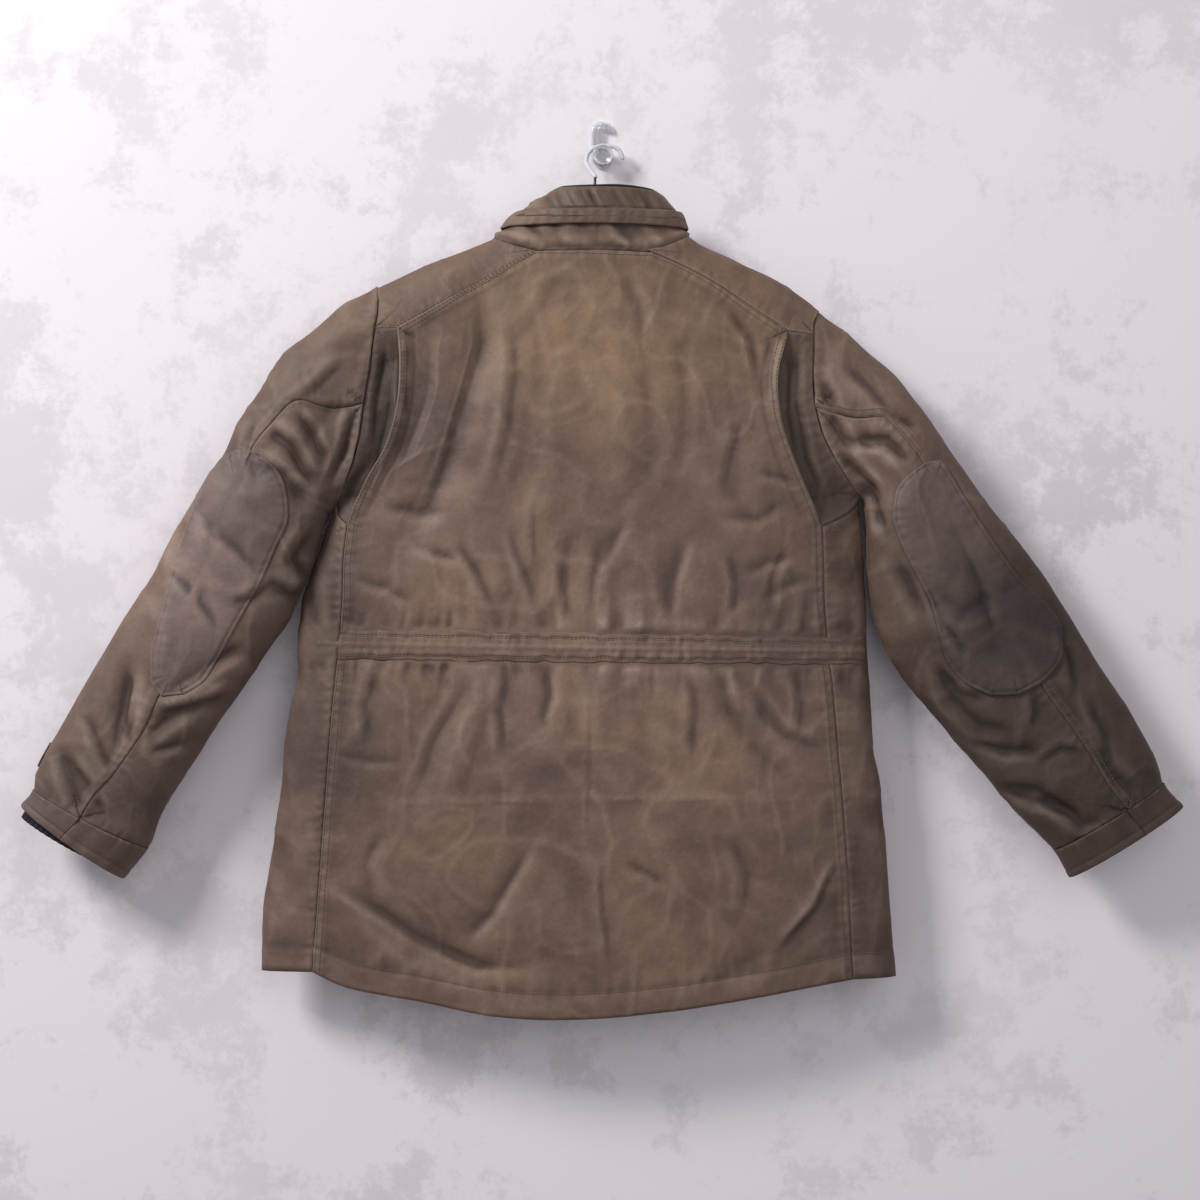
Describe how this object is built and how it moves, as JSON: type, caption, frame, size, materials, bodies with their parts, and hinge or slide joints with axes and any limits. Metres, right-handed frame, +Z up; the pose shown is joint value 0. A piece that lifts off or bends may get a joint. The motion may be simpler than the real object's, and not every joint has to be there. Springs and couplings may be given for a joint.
{
  "type": "waxed cotton jacket on a hanger and wall hook",
  "caption": "Hip-length waxed cotton field jacket with a stand collar, action-back pleats, ruched waist and elbow patches, hung from a hanger on a clear wall hook.",
  "frame": {"origin": "on the wall behind the clear hook, on the back face of its plate", "axes": "+Y into the wall, +X to the right as the jacket's back is seen, +Z up"},
  "size_m": [1.2123, 0.086, 0.9448],
  "materials": {
    "waxed_cotton": "waxed, dull sheen, worn lighter at edges and folds",
    "patch_cotton": "waxed, greyer and more matte",
    "dark_cloth": "matte dark cloth",
    "rib_knit": "matte ribbed knit",
    "stud_metal": "satin",
    "hanger_plastic": "satin",
    "hook_wire": "bright",
    "wire_sleeve": "cloudy clear sleeve",
    "clear_plastic": "clear"
  },
  "bodies": {
    "root": {"back_panel": "waxed_cotton", "waist_casing": "waxed_cotton", "pleat_gusset_left": "waxed_cotton", "pleat_gusset_right": "waxed_cotton", "yoke_left": "waxed_cotton", "yoke_right": "waxed_cotton", "front_left": "waxed_cotton", "front_right": "waxed_cotton", "front_fly": "waxed_cotton", "top_sleeve_left": "waxed_cotton", "top_sleeve_right": "waxed_cotton", "under_sleeve_left": "waxed_cotton", "under_sleeve_right": "waxed_cotton", "cuff_band_left": "waxed_cotton", "cuff_band_right": "waxed_cotton", "cuff_tab": "waxed_cotton", "knit_cuff_left": "rib_knit", "knit_cuff_right": "rib_knit", "elbow_patch_left": "patch_cotton", "elbow_patch_right": "patch_cotton", "collar": "waxed_cotton", "collar_welt": "waxed_cotton", "collar_lining": "dark_cloth", "collar_piping": "dark_cloth", "fly_stud_1": "stud_metal", "fly_stud_2": "stud_metal", "fly_stud_3": "stud_metal", "fly_stud_4": "stud_metal", "fly_stud_5": "stud_metal", "fly_stud_6": "stud_metal", "cuff_tab_stud": "stud_metal", "hanger": "hanger_plastic", "hanger_hook": "hook_wire", "hook_sleeve": "wire_sleeve", "wall_hook_plate": "clear_plastic", "wall_hook_peg": "clear_plastic"}
  },
  "joints": []
}
